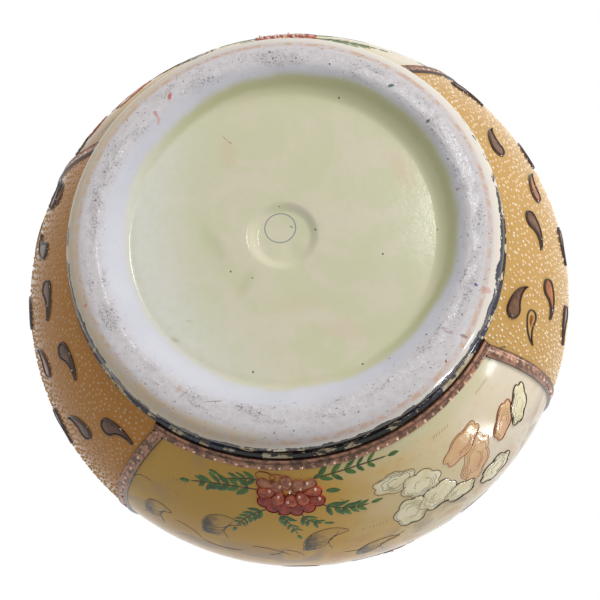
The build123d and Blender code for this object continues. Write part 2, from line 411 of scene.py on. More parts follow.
def total(tree, start, *terms):
    # a start and values times their weights, added up
    for value, weight in terms:
        start = addNode(tree, "Math", {0: value, 1: weight, 2: start}, operation="MULTIPLY_ADD").outputs[0]
    return start


def strayed(tree, value, noise, by):
    # a value that a noise moves to and fro, over a length in all
    return total(tree, -by / 2, (noise, by), (value, 1))


def share(tree, *spans, most=1.0):
    # how far a place is, eased, from low to high in every span at once; where one doesn't start
    # from nothing it comes first, with its least and most
    for value, low, high, *ends in spans:
        least, most = ends or (0.0, most)
        span = {"Value": value, "From Min": low, "From Max": high, "To Min": least, "To Max": most}
        most = addNode(tree, "MapRange", span, interpolation_type="SMOOTHSTEP").outputs[0]
    return most


def laidOver(tree, colour, over, *spans, most=1.0):
    # a colour covered by another as far as the spans say
    inputs = {0: share(tree, *spans, most=most), 6: colour, 7: over}
    return addNode(tree, "Mix", inputs, data_type="RGBA").outputs[2]


def mottle(tree, where, size, detail=3.0, roughness=0.5, twist=0.0, stretch=(1, 1, 1)):
    # noise whose blotches are about a size in millimetres
    where = addNode(tree, "VectorMath", {0: where, 1: stretch}, operation="MULTIPLY").outputs[0]
    inputs = {"Vector": where, "Scale": 1 / size, "Detail": detail, "Roughness": roughness}
    return addNode(tree, "TexNoise", {**inputs, "Distortion": twist}).outputs[0]


def marked(tree, colour, flat, marks, soft):
    # stains and specks: x, y, half length, half width, lean in degrees, colour, strength
    for x, y, long, wide, lean, stain, strength in marks:
        inputs = {"Vector": flat, "Location": (x, y, 0), "Scale": (long, wide, 1)}
        inputs["Rotation"] = (0, 0, math.radians(lean))
        spot = addNode(tree, "Mapping", inputs, vector_type="TEXTURE").outputs[0]
        away = addNode(tree, "VectorMath", {0: spot}, operation="LENGTH").outputs["Value"]
        colour = laidOver(tree, colour, stain, (away, 1.0, soft), most=strength)
    return colour


def glazed(tree, colour, roughness, level=0.5, bump=None, bumpHeight=0.05, coat=0.0, metal=0.0):
    inputs = {"Base Color": colour, "Roughness": roughness, "IOR": 1.5, "Specular IOR Level": level,
              "Coat Weight": coat, "Coat Roughness": 0.05, "Metallic": metal}
    if bump is not None:
        raised = {"Height": bump, "Distance": bumpHeight * mm, "Strength": 1.0}
        inputs["Normal"] = addNode(tree, "Bump", raised).outputs[0]
    shader = addNode(tree, "BsdfPrincipled", inputs).outputs[0]
    addNode(tree, "OutputMaterial", {"Surface": shader})


# Porcelain, thrown and turned, under a clear glaze: cold white where it's thin over the ring,
# yellow-green where it pooled in the recess, pitted and rubbed grey where the foot has stood
footWear = {
    "poolMiddle": (-2.4, 1.4),
    "poolRadius": 49.8,
    "blackLow": 4.0,  # enamel band round the foot's wall
    "blackHigh": 11.4,
    "ringMark": (0.3, 2.8, 4.6),  # x, y, radius of the thin blue ring in the dimple
    "stains": [
        (-39, 11, 11, 5, 75, "#dcbf9c", 0.45), (10, 29.6, 4, 8, 10, "#e2c9ab", 0.5),
        (-10, -33, 12, 5, 20, "#e0cbae", 0.4), (20, 2, 4, 12, -20, "#c3c59c", 0.45),
        (14, -12, 3, 9, 40, "#c6c59c", 0.4), (0, -22, 14, 5, 12, "#dccfae", 0.35),
        (37.9, -23.5, 2.2, 1.2, 40, "#b9b793", 0.6), (33, -19, 1.6, 0.8, 30, "#c2c09c", 0.5),
        (10, 35.2, 2.6, 0.3, 56, "#b98268", 0.7), (8.7, 33.4, 0.9, 0.35, 30, "#a8604a", 0.7)],
    "smears": [
        (23, 51, 0.8, 1.8, 12, "#c9655a", 0.85), (28.3, 46.6, 0.7, 1.2, 5, "#d4837a", 0.7),
        (28.2, 44.6, 0.6, 1.9, 5, "#dfa59c", 0.7), (-52.3, -33.2, 1.6, 1, 20, "#cf9d96", 0.6),
        (-38.4, -42.3, 2.2, 0.8, 40, "#a9868a", 0.6), (-42.6, -44.8, 1.4, 0.6, 35, "#8d6a68", 0.7),
        (60.8, -7.9, 0.9, 0.8, 0, "#d88f78", 0.8), (39.5, -39.5, 1.6, 0.8, -40, "#d9b3a8", 0.6),
        (-42.4, 36.1, 1.5, 0.6, -12, "#3f6f5c", 0.95), (-50.1, 22.1, 0.9, 0.7, 0, "#6f5c5a", 0.9),
        (-49.9, -31.3, 0.7, 0.8, 0, "#565f90", 0.9), (-35.9, -50.8, 0.5, 0.5, 0, "#a5564c", 0.9),
        (-52.8, -1, 0.8, 0.5, 30, "#b98a86", 0.8), (-2.9, 2.3, 0.9, 0.2, 60, "#54556a", 0.8),
        (30.6, -45.6, 3.4, 0.16, 12, "#7d5f68", 0.85), (37.5, -41, 4, 0.2, -25, "#9d9498", 0.5)],
}


def makeFootGlaze():
    finish, tree = newFinish("foot_porcelain_glaze")
    where, x, y, z = place(tree)
    across = awayFrom(tree, where, (0, 0, 0), (1, 1, 0))
    mirrored = addNode(tree, "VectorMath", {0: where, 1: (-1, -1, 1)}, operation="MULTIPLY").outputs[0]
    parts = addNode(tree, "SeparateXYZ", {0: mirrored}).outputs
    angle = addNode(tree, "Math", {0: parts[0], 1: parts[1]}, operation="ARCTAN2").outputs[0]
    turn = addNode(tree, "Math", {0: angle}, operation="DEGREES").outputs[0]
    # a degree is about a millimetre here
    around = addNode(tree, "CombineXYZ", {0: turn, 1: across, 2: z}).outputs[0]
    blotch = mottle(tree, where, 14, 4)
    fine = mottle(tree, where, 2.2, 4, 0.6)
    # the marks' own places, with edges that wander by 0.7 mm
    wobble = addNode(tree, "TexNoise", {"Vector": where, "Scale": 0.5}).outputs["Color"]
    wander = {0: wobble, 1: (1.4, 1.4, 0), 2: where}
    flat = addNode(tree, "VectorMath", wander, operation="MULTIPLY_ADD").outputs[0]
    level = {0: flat, 1: (1, 1, 0), 2: (-0.7, -0.7, 0)}
    flat = addNode(tree, "VectorMath", level, operation="MULTIPLY_ADD").outputs[0]
    # white slope, warmer on the crest
    white = laidOver(tree, "#d6d6e0", "#dcdce4", (blotch, 0.35, 0.65))
    warm = laidOver(tree, "#dad3d4", "#e3dfe1", (fine, 0.35, 0.65))
    white = laidOver(tree, white, warm, (across, 51, 56))
    # grey rubbing and clusters of pits in a ring where it rests; the real pits are half as wide
    crest = (across, 52, 55), (across, 60, 57.5)
    cluster = mottle(tree, around, 6.5, 4, 0.6, stretch=(0.45, 1.2, 1))
    rubbing = (cluster, 0.48, 0.62), *crest
    white = laidOver(tree, white, "#b3abae", *rubbing, most=0.34)
    pits = mottle(tree, where, 0.7, 2, 0.65)
    white = laidOver(tree, white, "#5c5658", (pits, 0.57, 0.62), *rubbing, most=0.85)
    strays = mottle(tree, where, 0.8, 1)
    white = laidOver(tree, white, "#6d6466", (across, 50, 56, 0.1, 0.75), (strays, 0.70, 0.73))
    # tan iron line under the glaze near the edge, spread to a stain on the far side
    lineAt = total(tree, across, (share(tree, (y, -22, -56)), -2.5))
    line = (fine, 0.38, 0.62, 0.1, 0.75), (lineAt, 59.5, 60.6), (lineAt, 61.9, 61.0)
    white = laidOver(tree, white, "#cfa683", *line)
    white = laidOver(tree, white, "#e4dccf", (lineAt, 61.2, 62.2))
    white = laidOver(tree, white, "#e6cda6", (fine, 0.3, 0.6, 0.2, 0.8), (across, 59.8, 62.0), (x, 8, 34))
    # pooled glaze, soft on one side; the paler +X side is painted light, and the olive band is partly where
    # the glaze pooled deepest and partly painted shadow of the foot's wall
    reach = awayFrom(tree, where, (*footWear["poolMiddle"], 0), (1, 1, 0))
    reach = strayed(tree, reach, blotch, 3.0)
    swirl = mottle(tree, where, 24, twist=1.6)
    green = laidOver(tree, "#dbdab6", "#e4dcc2", (swirl, 0.36, 0.64))
    # painted light: the side of the recess that faces the lamps is painted paler
    green = laidOver(tree, green, "#ebebe2", (x, 6, 44), (reach, 20, 46), most=0.85)
    green = laidOver(tree, green, "#d2d4b0", (fine, 0.4, 0.7), most=0.2)
    green = marked(tree, green, flat, footWear["stains"], 0.0)
    # painted shadow, in part: olive laid on the side towards the lamps, where the foot's wall shades the
    # recess
    poolAndShadowWay = {0: where, 1: (-0.8, 0.45, 0)}
    poolAndShadowAlong = addNode(tree, "VectorMath", poolAndShadowWay, operation="DOT_PRODUCT").outputs["Value"]
    green = laidOver(tree, green, "#d3d1a6", (reach, 39.5, 46.5), (poolAndShadowAlong, 2, 32))
    green = laidOver(tree, green, "#c3c293", (poolAndShadowAlong, -30, 20, 0.15, 0.9), (reach, 45.5, 47.5))
    poolEdge = footWear["poolRadius"]
    colour = laidOver(tree, white, green, (reach, poolEdge + 1.0, poolEdge - 1.6))
    # pin holes and iron specks, one to a cell of 6 mm at most, more of them to one side
    cells = addNode(tree, "TexVoronoi", {"Vector": where, "Scale": 1 / 6.2}).outputs
    pick = addNode(tree, "SeparateColor", {0: cells["Color"]}).outputs[0]
    least = share(tree, (x, -20, 30, 0.35, 0.75))
    few = addNode(tree, "Math", {0: pick, 1: least}, operation="GREATER_THAN").outputs[0]
    hole = addNode(tree, "Math", {0: cells["Distance"], 1: 0.05}, operation="LESS_THAN").outputs[0]
    colour = laidOver(tree, colour, "#6b5f4e", (few, 0, 1), most=hole)
    colour = marked(tree, colour, flat, footWear["smears"], 0.55)
    ringX, ringY, ring = footWear["ringMark"]
    away = awayFrom(tree, where, (ringX, ringY, 0), (1, 1, 0))
    line = (away, ring - 0.22, ring - 0.08), (away, ring + 0.22, ring + 0.08)
    colour = laidOver(tree, colour, "#4f6488", *line, most=0.75)
    # the foot's wall: cream body under a band of black enamel, ragged below, flaked at the sides
    body = laidOver(tree, "#cbb58a", "#e2d6ba", (fine, 0.4, 0.6))
    colour = laidOver(tree, colour, body, (z, 4.2, 5.6), (across, 61, 62))
    ragged = strayed(tree, z, mottle(tree, where, 4.0, 4, 0.6), 3.0)
    lowered = total(tree, ragged, (share(tree, (turn, 42, 66), (turn, 118, 104)), 1.7),
                    (share(tree, (turn, -48, -74), (turn, -114, -104)), 1.6))
    chips = total(tree, mottle(tree, around, 3.4, 4, 0.62, stretch=(0.7, 1, 1)),
                  (share(tree, (turn, 70, 96), (turn, 136, 116)), -0.12),
                  (share(tree, (turn, -80, -105), (turn, -136, -116)), -0.06),
                  (share(tree, (z, 8.6, 11.2)), -0.05))
    low, high = footWear["blackLow"], footWear["blackHigh"]
    wall = (lowered, low - 0.05, low + 0.1), (z, high + 0.2, high), (across, 60, 61)
    band = share(tree, *wall, (chips, 0.40, 0.415))
    sideTurn = addNode(tree, "Math", {0: total(tree, turn, (2, 1))}, operation="ABSOLUTE").outputs[0]
    black = laidOver(tree, "#141419", "#43485f", (fine, 0.35, 0.6), (sideTurn, 16, 36), (sideTurn, 78, 58))
    colour = laidOver(tree, colour, black, most=band)
    rubbed = share(tree, *rubbing)
    pitted = total(tree, 0, (rubbed, 2.4), (share(tree, *crest), 1.68))
    wear = total(tree, 0, (fine, 0.3), (band, 0.8), (mottle(tree, where, 1.3, 3, 0.6), pitted))
    glazed(tree, colour, share(tree, (rubbed, 0, 1, 0.13, 0.3)), 0.4, wear, 0.07)
    return finish


# Overglaze enamel ground in ochre, brushed on and fired: opaque, glossy, uneven in strength
def makeGround():
    finish, tree = newFinish("ochre_enamel_ground")
    where, x, _, z = place(tree)
    wide = mottle(tree, where, 26)
    cloud = mottle(tree, where, 15, twist=0.8)
    small = mottle(tree, where, 5, 4, 0.55)
    # the fields are painted browner towards +X, the side away from the lamps: painted shade
    field = laidOver(tree, "#c8a05f", "#d5944a", (strayed(tree, x, wide, 60), -40, 50))
    field = laidOver(tree, field, "#b98850", (small, 0.5, 0.75), most=0.3)
    # the panels run from ochre to cream towards -X, the side facing the lamps, partly brushwork and partly
    # painted light; the near-white at the far -X side is painted sheen where the window shines back; with a
    # pale wash under the border
    drift = strayed(tree, x, wide, 70)
    cream = laidOver(tree, "#dcb05c", "#e6d4aa", (drift, 16, -34))
    cream = laidOver(tree, cream, "#ece0cd", (drift, -26, -58), most=0.8)
    cream = laidOver(tree, cream, "#d2ab62", (small, 0.5, 0.72), most=0.25)
    cream = laidOver(tree, cream, "#d9d4ae", (z, 20, 15), (drift, 22, -12), most=0.7)
    # mauve and rust washes at the widest part, the mauve partly a lilac wash and partly painted reflection,
    # the grey-lilac sheen seen there edge-on; and a mauve wash beside the straps
    belt = (z, 40, 54), (z, 86, 74)
    # partly painted reflection: mauve patches where the belly is seen edge-on
    cream = laidOver(tree, cream, "#9c8678", (cloud, 0.46, 0.62), *belt, most=0.65)
    cream = laidOver(tree, cream, "#c08c58", (cloud, 0.50, 0.36), *belt, most=0.45)
    out, edge = awayFrom(tree, where, (0, 0, bowl["middle"]), (1, 0, 1)), relief["panelRadius"]
    beside = (out, edge - 13, edge - 5), (cloud, 0.44, 0.62), (x, 0, 30)
    cream = laidOver(tree, cream, "#b39a86", *beside, most=0.4)
    colour = laidOver(tree, field, cream, (out, edge + 0.3, edge - 0.3))
    colour = laidOver(tree, colour, "#8a6840", (mottle(tree, where, 0.9, 2, 0.6), 0.69, 0.73), most=0.5)
    glazed(tree, colour, share(tree, (small, 0.3, 0.7, 0.1, 0.2)), 0.09, small, 0.035)
    return finish


# Clear-glazed white porcelain inside the bowl and the lid
def makeInside():
    finish, tree = newFinish("white_porcelain_glaze")
    blotch = mottle(tree, place(tree)[0], 18, 4)
    glazed(tree, laidOver(tree, "#dcdcdf", "#e6e5e4", (blotch, 0.35, 0.65)), 0.12, bump=blotch)
    return finish


# Bright gold fired over trailed enamel: coppery on the high parts, worn through to brown in the hollows
def makeGilt(name, hollow, bright, shine):
    finish, tree = newFinish(name)
    where = place(tree)[0]
    worn = mottle(tree, where, 2.4, 3, 0.55)
    colour = laidOver(tree, hollow, bright, (worn, 0.38, 0.6))
    glazed(tree, colour, share(tree, (worn, 0.3, 0.7, 0.2, 0.36)), 0.35, mottle(tree, where, 1.4, 2), 0.07,
           metal=share(tree, (worn, 0.42, 0.58, 0.1, shine)))
    return finish


# Translucent lead enamel, laid on thick as a paste and melted to a glossy blob
def makeEnamel(name, thin, deep, size=4.0, roughness=0.12, level=0.35, coat=0.0, shadedSide=None):
    finish, tree = newFinish(name)
    where, x, *_ = place(tree)
    colour = laidOver(tree, thin, deep, (mottle(tree, where, size, 3, 0.55), 0.38, 0.66))
    if shadedSide:  # painted shade: towards +X, away from the lamps, the colour turns to this one
        colour = laidOver(tree, colour, shadedSide, (x, -10, 55), most=0.7)
    glazed(tree, colour, roughness, level, mottle(tree, where, size / 3, 2), coat=coat)
    return finish


# Grey wash brushed from the back edge of a rock out to nothing
def makeRock():
    finish, tree = newFinish("grey_wash_enamel")
    shade = addNode(tree, "Attribute", {}, attribute_name="shade").outputs["Fac"]
    depth = strayed(tree, shade, mottle(tree, place(tree)[0], 1.6), 0.5)
    glazed(tree, laidOver(tree, "#4f4a43", "#d0a75c", (depth, 0.05, 0.55)), 0.15, 0.15)
    return finish


footGlaze = makeFootGlaze()
ground = makeGround()
inside = makeInside()
gilt = makeGilt("worn_gilt_enamel", "#6b4c3a", "#a27660", 0.5)
# the beads' pale pink is partly gilt and partly painted glint
beadGiltAndGlint = makeGilt("rubbed_gilt_beads_painted_glint", "#b08a74", "#f0cdb6", 0.4)
brownEnamel = makeEnamel("manganese_brown_enamel", "#7f5a43", "#5c4031", roughness=0.22, level=0.2)
trailEnamel = makeEnamel("dark_trailed_enamel", "#4a3022", "#38251c", 2.0, 0.08, coat=0.35)
amberEnamel = makeEnamel("amber_enamel", "#b9690f", "#94500f", roughness=0.16)
redEnamel = makeEnamel("iron_red_enamel", "#b5452f", "#7c2626", 2.4, level=0.3)
peachEnamel = makeEnamel("peach_enamel", "#c88a66", "#a15c48", 2.2, 0.14, level=0.3)
# painted shade: the dots turn browner towards +X
dotEnamel = makeEnamel("white_slip_dots", "#fbe6c6", "#efcb9d", 3.0, 0.35, level=0.12, shadedSide="#deb077")
roseEnamel = makeEnamel("rose_enamel", "#cd6a42", "#9c3f32", 2.0, level=0.3)
# the blossom beads' pink-white is partly enamel and partly painted glint
beadEnamelAndGlint = makeEnamel("pink_white_enamel_painted_glint", "#f2dacb", "#e0b8a4", 2.0, 0.1, coat=0.3)
greenEnamel = makeEnamel("copper_green_enamel", "#527a26", "#2f5420", roughness=0.18)
stemPaint = makeEnamel("dark_stem_enamel", "#4a3c22", "#2f3a1c", 3.0, 0.25)
inkPaint = makeEnamel("black_outline_enamel", "#4b4034", "#2e2a28", 3.0, 0.3)
redLine = makeEnamel("iron_red_line_enamel", "#a8573e", "#8c4535", 3.0, 0.3)
creamWash = makeEnamel("cream_wash_enamel", "#f8eecb", "#ecdfb4", 5.0, 0.14, level=0.2)
peachWash = makeEnamel("peach_wash_enamel", "#e6c08e", "#e0b184", 6.0, 0.14, level=0.2)
rockWash = makeRock()
print("finishes made")


# Bowl
foot = {
    "radius": topOf("foot_ring").x,
    "seat": topOf("foot_ring").z,
    "landInner": 55.5,
    "landOuter": 58.5,
    "toe": 6.0,
    "recess": 45.0,
    "depth": 5.0,
    "dimple": 11.0,
    "dimpleFloor": 7.4,
    "dimpleDepth": 1.2,
    "waver": 0.12,
}


def hugged(form, points):
    # points on a form's true ellipse, moved to the wavering one
    turn, across, height = roundOf(points)
    rise = (height - form["middle"]) / form["rise"]
    on = (np.abs(np.hypot(across / form["radius"], rise) - 1) < 1e-4) & (rise < 1)
    shaped = points.copy()
    shaped[on] = onForm(form, turn[on], np.arcsin(rise[on]))
    return shaped


def bowlShape(points):
    shaped = hugged(bowl, points)
    across, height = roundOf(points)[1:]
    under = (height < foot["seat"] - 0.1) & (across < foot["recess"])
    fade = np.clip((foot["recess"] - across) / 6, 0, 1)
    shaped[under, 2] += (0.1 * wavering(*points.T) * fade)[under]
    return shaped


dimpleTop = foot["depth"] + foot["dimpleDepth"]
lipLow = bowl["rim"] - bowl["rimRound"]
cavity = {"middle": bowl["middle"], **{way: bowl[way] - bowl["wall"] for way in ("radius", "rise")}}
floorEdge = radiusAt(cavity, bowl["floor"]) - bowl["floorRound"] * 0.9
section = [(0, dimpleTop, 0), (3.7, dimpleTop, 0)]
section += ogee((foot["dimpleFloor"], dimpleTop), (foot["dimple"], foot["depth"]), 12)
section += [(r, foot["depth"], 0) for r in np.arange(13, foot["recess"] - 1, 1.6)]
section += [(foot["recess"], foot["depth"], 0), (foot["recess"], foot["seat"], 0)]
section += [(foot["radius"], z, 0) for z in (foot["seat"], 8, 9, 10)]
section += ellipsePart(bowl, relief["footLow"], footWear["blackHigh"], 3)[:-1]
section += ellipsePart(bowl, footWear["blackHigh"], lipLow, 110, 1)
section += arcPart((radiusAt(bowl, bowl["rim"]) - 1.9, bowl["rim"] - 1.6), (1.6, 1.6), 10, 170, 14, 2)
section += ellipsePart(cavity, lipLow, bowl["floor"] + 6, 60, 2)
section += [(floorEdge + 6 * math.cos(a), bowl["floor"] + 5.6 - 5.6 * math.sin(a), 2)
            for a in np.linspace(0.3, math.pi / 2, 8)]
section += [(r, bowl["floor"], 2) for r in (*np.arange(floorEdge - 4, 1, -6), 0)]
newPiece("bowl_clay", turned(section, bowlShape), "bowl", [footGlaze, ground, inside],
         ["bowl_body"])


def footShape(points):
    across, height = roundOf(points)[1:]
    ripple = wavering(points[:, 0] * 1.3, points[:, 1] * 1.3, height * 6)
    away = np.minimum(across - foot["recess"], foot["seat"] - height)
    shaped = points.copy()
    shaped[:, 2] += foot["waver"] * (ripple + 1) / 2 * np.clip(away / 4, 0, 1)
    return shaped


section = ogee((foot["recess"], foot["depth"]), (foot["landInner"], 0), 22)
section += [(r, 0, 0) for r in (56.25, 57, 57.75)]
toe = foot["radius"] - foot["landOuter"]
section += arcPart((foot["landOuter"], foot["toe"]), (toe, foot["toe"]), -90, 0, 22)
section += [(foot["radius"], foot["seat"], 0), (foot["recess"], foot["seat"], 0)]
newPiece("foot_ring_clay", turned(section, footShape), "bowl", [footGlaze], ["foot_ring"])
print("bowl and foot turned")


# Lid
lid = {
    "middle": 92.0,
    "rise": 39.5,
    "radius": 80.9,
    "lipRadius": topOf("lid_dome").x,
    "lipTop": 101.4,
    "lipRound": 1.2,
    "seat": lowOf("lid_knob").z,
    "collarLow": lowOf("lid_dome").z,
    "collarRadius": 73.27,
    "collarRound": 1.2,
    "cavityRadius": 69.87,
    "cavityRise": 29.5,
    "cavityTop": 127.26,
    "waver": 0.07,
}
hollow = {"middle": bowl["rim"], "radius": lid["cavityRadius"], "rise": lid["cavityRise"]}
lip, turnIn = lid["lipRound"], lid["collarRound"]
bore, collar, low = lid["cavityRadius"], lid["collarRadius"], lid["collarLow"] + turnIn
section = [(0, lid["cavityTop"], 2), (4, lid["cavityTop"], 2)]
section += ellipsePart(hollow, lid["cavityTop"], bowl["rim"], 60, 2)
section += [(bore, z, 2) for z in (95, low)]
section += arcPart((bore + turnIn, low), (turnIn, turnIn), 190, 270, 5, 2)
section += arcPart((collar - turnIn, low), (turnIn, turnIn), 270, 350, 5, 2)
section += [(collar, z, 2) for z in (91, bowl["rim"] - 0.01)]
section += arcPart((lid["lipRadius"] - lip, bowl["rim"] + lip), (lip, lip), -90, 0, 7)
section += arcPart((lid["lipRadius"] - lip, lid["lipTop"] - lip), (lip, lip), 0, 90, 7)
section += ellipsePart(lid, lid["lipTop"], lid["seat"], 90)
section += [(4, lid["seat"], 0), (0, lid["seat"], 0)]
newPiece("lid_clay", turned(section, lambda points: hugged(lid, points)), "lid", [ground, ground, inside],
         ["lid_dome"])

knob = {
    "neck": 5.5,
    "neckHeight": 5.0,
    "foot": 9.0,
    "footEdge": 1.2,
    "widest": 12.0,
    "middle": 13.5,
    "height": 24.0,
    "point": 3.0,
    "lobes": 10,
    "lobeDepth": 0.25,
}


def bezierPart(a, b, c, d, steps):
    return [tuple((1 - t) ** 3 * p + 3 * t * (1 - t) ** 2 * q + 3 * t * t * (1 - t) * r + t ** 3 * s
                  for p, q, r, s in zip(a, b, c, d)) + (0,) for t in np.linspace(0, 1, steps)][1:]


def knobShape(points):
    turn, _, height = roundOf(points)
    up = np.clip((height - neckTop) / (knob["height"] - knob["neckHeight"]), 0, 1)
    groove = (0.5 - 0.5 * np.cos(knob["lobes"] * turn)) ** 4
    shaped = points.copy()
    shaped[:, :2] *= (1 - knob["lobeDepth"] * up * (1 - up) * groove)[:, None]
    return shaped


seat = lid["seat"]
neckTop, widest, top = seat + knob["neckHeight"], seat + knob["middle"], seat + knob["height"]
flare, neckRise = knob["foot"] - knob["neck"], knob["neckHeight"] - knob["footEdge"]
swell, drawIn = (widest - neckTop) / 2, (top - widest) / 2
section = [(0, seat, 0), (knob["foot"], seat, 0)]
section += [(knob["foot"] - flare * math.sin(a), neckTop - neckRise * math.cos(a), 0)
            for a in np.linspace(0, math.pi / 2, 12)]
section += bezierPart((knob["neck"], neckTop), (knob["neck"], neckTop + swell),
                      (knob["widest"], widest - swell), (knob["widest"], widest), 20)
section += bezierPart((knob["widest"], widest), (knob["widest"], widest + drawIn),
                      (knob["point"], top - drawIn / 2), (0, top), 26)
newPiece("lid_knob_bud", turned(section, knobShape, 120), "lid", [gilt], ["lid_knob"])
print("lid and knob turned")


# Gilt borders: trailed lines, laid round on the turning wheel, with a row of beads
borderLift = [(0, -0.06), (0.02, 0.45), (0.09, 0.95), (0.17, 0.3), (0.3, 0.55), (0.42, 0.3), (0.46, 0.55),
              (0.5, 0.75), (0.55, 0.25), (0.75, 0.3), (0.92, 0.5), (0.97, 0.4), (1, -0.06)]
borderDark = (0, 1, 2, 6, 7, 11)  # the bands of it that are dark trailed enamel
beads = {"spacing": 3.1, "radius": 0.6, "height": 1.1, "at": 0.78}
gilding = [gilt, beadGiltAndGlint, trailEnamel]


def border(name, form, low, high, body, node, flip=False, middles=(0,), reach=math.pi):
    # all the way round, or up to reach each side of the middles
    lowSlope, highSlope = slopeAt(form, low), slopeAt(form, high)

    def slopeOf(share):
        return lowSlope + (highSlope - lowSlope) * (1 - share if flip else share)

    parts, marks = [], []
    for middle in middles:
        count = int(sides * reach / math.pi)
        turn = middle - reach + np.arange(count + (reach < math.pi)) * 2 * reach / count
        rows, faces = [], []
        for share, lift in borderLift:
            rows.append(onForm(form, turn, np.full(len(turn), slopeOf(share)), lift * thick))
        if flip:
            rows.reverse()
        for k in range(len(rows) - 1):
            for i in range(count):
                j, a, b = (i + 1) % len(turn), k * len(turn), (k + 1) * len(turn)
                faces.append((b + i, b + j, a + j, a + i))
                marks.append(2 if (len(rows) - 2 - k if flip else k) in borderDark else 0)
        parts.append((np.concatenate(rows), faces))
        slope = slopeOf(beads["at"])
        count = int(2 * reach * form["radius"] * math.cos(slope) / beads["spacing"])
        places = []
        for i in range(count):
            at = middle - reach + (i + 0.5 + chance.uniform(-0.08, 0.08)) * 2 * reach / count
            places.append((at, slope, beads["radius"] * chance.uniform(0.85, 1.1), thick * beads["height"]))
        parts.append(domes(form, places, 10))
        marks += [1] * len(parts[-1][1])
    newPiece(name, (*joined(*parts), marks), body, gilding, [node], 50)


panelTurn = panelEdge(relief["strapLow"]) + relief["strapWidth"] / 2 / radiusAt(bowl, relief["strapLow"])
border("foot_border_gilt", bowl, footWear["blackHigh"] - 0.1, relief["footHigh"] + 0.2, "bowl", "foot_border",
       middles=(0, math.pi), reach=panelTurn)
border("shoulder_border_gilt", bowl, relief["shoulderLow"], relief["shoulderHigh"], "bowl",
       "shoulder_border", True)
border("lid_border_gilt", lid, relief["lidLow"], relief["lidHigh"], "lid", "lid_border")
ringLow, ringHigh = heightAt(lid, relief["ringOuter"]), heightAt(lid, relief["ringInner"])
border("knob_ring_gilt", lid, ringLow, ringHigh, "lid", "knob_ring", True)

strapSection = [(-0.5, -0.06), (-0.47, 0.6), (-0.41, 1.0), (-0.33, 0.6), (-0.24, 0.42), (0.24, 0.42),
                (0.33, 0.6), (0.41, 1.0), (0.47, 0.6), (0.5, -0.06)]
strapDark = (0, 1, 7, 8)
strapBeads = {"spacing": 3.3, "radius": 0.72}


def strap(name, form, centre, low, high, body, node):
    # centre gives the angle round at a height
    middle = slopeAt(form, (low + high) / 2)
    slopes = np.linspace(slopeAt(form, low), slopeAt(form, high), 60)
    heights = form["middle"] + form["rise"] * np.sin(slopes)
    turns = np.array([centre(z) for z in heights])
    path = formToLocal(form, turns.mean(), middle, turns, slopeAt(form, heights))
    at = turns.mean(), middle
    line = threads(form, [(*at, path, relief["strapWidth"], thick, False)], strapSection, False)
    spots = localToForm(form, *at, resample(path, strapBeads["spacing"])[1:-1])
    places = [(t, s, strapBeads["radius"] * chance.uniform(0.85, 1.1), thick * 0.95) for t, s in zip(*spots)]
    beading = domes(form, places, 10)
    bands = len(strapSection) - 1
    marks = [2 if k in strapDark else 0 for k in range(bands) for _ in range(len(line[1]) // bands)]
    marks += [1] * len(beading[1])
    newPiece(name, (*joined(line, beading), marks), body, gilding, [node], 50)


lidStrapHigh = heightAt(lid, relief["crownOuter"] + 1.5)
lidEdge = panelEdge(bowl["rim"])
for end, flip in (("front", 0), ("back", math.pi)):
    for hand, way in (("left", 1), ("right", -1)):
        way = way if end == "front" else -way
        strap(f"{end}_{hand}_gilt_strap", bowl, lambda z: flip + way * panelEdge(z), relief["strapLow"],
              relief["strapHigh"], "bowl", f"{end}_{hand}_strap")
        strap(f"lid_{end}_{hand}_gilt_strap", lid, lambda z: flip + way * lidEdge, relief["lidHigh"] + 0.3,
              lidStrapHigh, "lid", f"lid_{end}_{hand}_strap")
print("gilt trailed")


# Comma leaves: a flat pool of enamel inside a trailed outline
commaLeaf = {
    "length": 12.0,
    "head": 2.7,
    "droop": 3.4,
    "throat": 50.0,
    "hollow": 1.4,
    "trail": 0.62,
    "open": (58.0, 24.4, 164),  # angle round, height and lean of a leaf left unfilled
}
petal = {"length": 12.0, "width": 7.0}
keepOff = {"bowl": [], "lid": []}


def bowed(start, end, bow, count=16):
    # an arc between two points that bows to the left of the way by a distance
    start, end = np.array(start, float), np.array(end, float)
    half = np.linalg.norm(end - start) / 2
    ahead = (end - start) / (2 * half)
    radius = (half ** 2 + bow ** 2) / (2 * abs(bow))
    t = np.linspace(-1, 1, count) * math.asin(min(1, half / radius))
    along, off = radius * np.sin(t), (radius * np.cos(t) - radius + abs(bow)) * math.copysign(1, bow)
    return (start + end) / 2 + along[:, None] * ahead + off[:, None] * np.array([-ahead[1], ahead[0]])


def commaShape():
    half, head, droop = commaLeaf["length"] / 2, commaLeaf["head"], commaLeaf["droop"]
    middle, tip = head - half, np.array([half, -droop])
    a = np.radians(np.linspace(90, 360 - commaLeaf["throat"], 30))
    front = np.stack([middle + head * np.cos(a), head * np.sin(a)], -1)
    away = tip - (middle, head)
    bow = (away @ away) / (2 * abs(away[1]))  # radius of the back, which leaves the head level
    a = np.linspace(0, 2 * math.atan2(abs(away[1]), away[0]), 24)
    back = np.stack([middle + bow * np.sin(a), head - bow * (1 - np.cos(a))], -1)
    return np.vstack([front, bowed(front[-1], tip, commaLeaf["hollow"])[1:], back[-2:0:-1]])


def petalShape():
    ends = ((-petal["length"] / 2, 0), (petal["length"] / 2, 0))
    return np.vstack([bowed(*ends, -petal["width"] / 2), bowed(*ends[::-1], -petal["width"] / 2)[1:-1]])


def swept(points, turnBy, shift=(0, 0)):
    c, s = math.cos(math.radians(turnBy)), math.sin(math.radians(turnBy))
    return np.asarray(points) @ np.array([[c, s], [-s, c]]) + np.asarray(shift)


